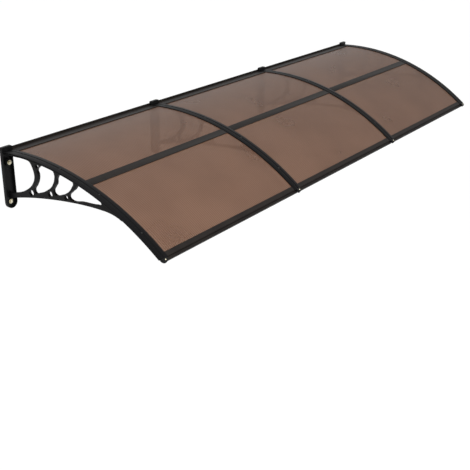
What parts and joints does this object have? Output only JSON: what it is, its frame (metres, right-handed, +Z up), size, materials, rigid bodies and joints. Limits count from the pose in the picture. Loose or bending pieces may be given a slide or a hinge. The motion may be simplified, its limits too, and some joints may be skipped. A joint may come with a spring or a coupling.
{
  "type": "door canopy",
  "caption": "Curved rain canopy for a door: bronze twin-wall roof sheets on black moulded wall brackets, with cover strips, joining bars and an open front gutter.",
  "frame": {"origin": "on the wall, in the middle of the width, level with the upper face of the roof sheets at the wall", "axes": "+X along the wall to the right as seen from outside looking at the wall, +Y into the wall, +Z up; the canopy reaches out to -Y"},
  "size_m": [3.06, 0.9345, 0.3258],
  "materials": {
    "moulding": "satin moulded",
    "coated_bar": "matt coated",
    "bronze_sheet": "clear bronze twin-wall",
    "zinc_steel": "yellow zinc plated",
    "black_screw": "black coated"
  },
  "bodies": {
    "root": {"bracket_1": "moulding", "bracket_2": "moulding", "bracket_3": "moulding", "bracket_4": "moulding", "cover_strip_1": "moulding", "cover_strip_2": "moulding", "cover_strip_3": "moulding", "cover_strip_4": "moulding", "sheet_rear_1": "bronze_sheet", "sheet_rear_2": "bronze_sheet", "sheet_rear_3": "bronze_sheet", "sheet_front_1": "bronze_sheet", "sheet_front_2": "bronze_sheet", "sheet_front_3": "bronze_sheet", "rear_bar_1": "coated_bar", "rear_bar_2": "coated_bar", "rear_bar_3": "coated_bar", "middle_bar_1": "coated_bar", "middle_bar_2": "coated_bar", "middle_bar_3": "coated_bar", "front_bar_1": "coated_bar", "front_bar_2": "coated_bar", "front_bar_3": "coated_bar", "wall_bolt_upper_1": "zinc_steel", "wall_bolt_upper_2": "zinc_steel", "wall_bolt_upper_3": "zinc_steel", "wall_bolt_upper_4": "zinc_steel", "wall_bolt_lower_1": "zinc_steel", "wall_bolt_lower_2": "zinc_steel", "wall_bolt_lower_3": "zinc_steel", "wall_bolt_lower_4": "zinc_steel", "washer_upper_1": "zinc_steel", "washer_upper_2": "zinc_steel", "washer_upper_3": "zinc_steel", "washer_upper_4": "zinc_steel", "washer_lower_1": "zinc_steel", "washer_lower_2": "zinc_steel", "washer_lower_3": "zinc_steel", "washer_lower_4": "zinc_steel", "nose_screw_1": "zinc_steel", "nose_screw_2": "zinc_steel", "nose_screw_3": "zinc_steel", "nose_screw_4": "zinc_steel", "strip_screw_1_1": "black_screw", "strip_screw_1_2": "black_screw", "strip_screw_1_3": "black_screw", "strip_screw_1_4": "black_screw", "strip_screw_2_1": "black_screw", "strip_screw_2_2": "black_screw", "strip_screw_2_3": "black_screw", "strip_screw_2_4": "black_screw", "strip_screw_3_1": "black_screw", "strip_screw_3_2": "black_screw", "strip_screw_3_3": "black_screw", "strip_screw_3_4": "black_screw", "strip_screw_4_1": "black_screw", "strip_screw_4_2": "black_screw", "strip_screw_4_3": "black_screw", "strip_screw_4_4": "black_screw"}
  },
  "joints": []
}
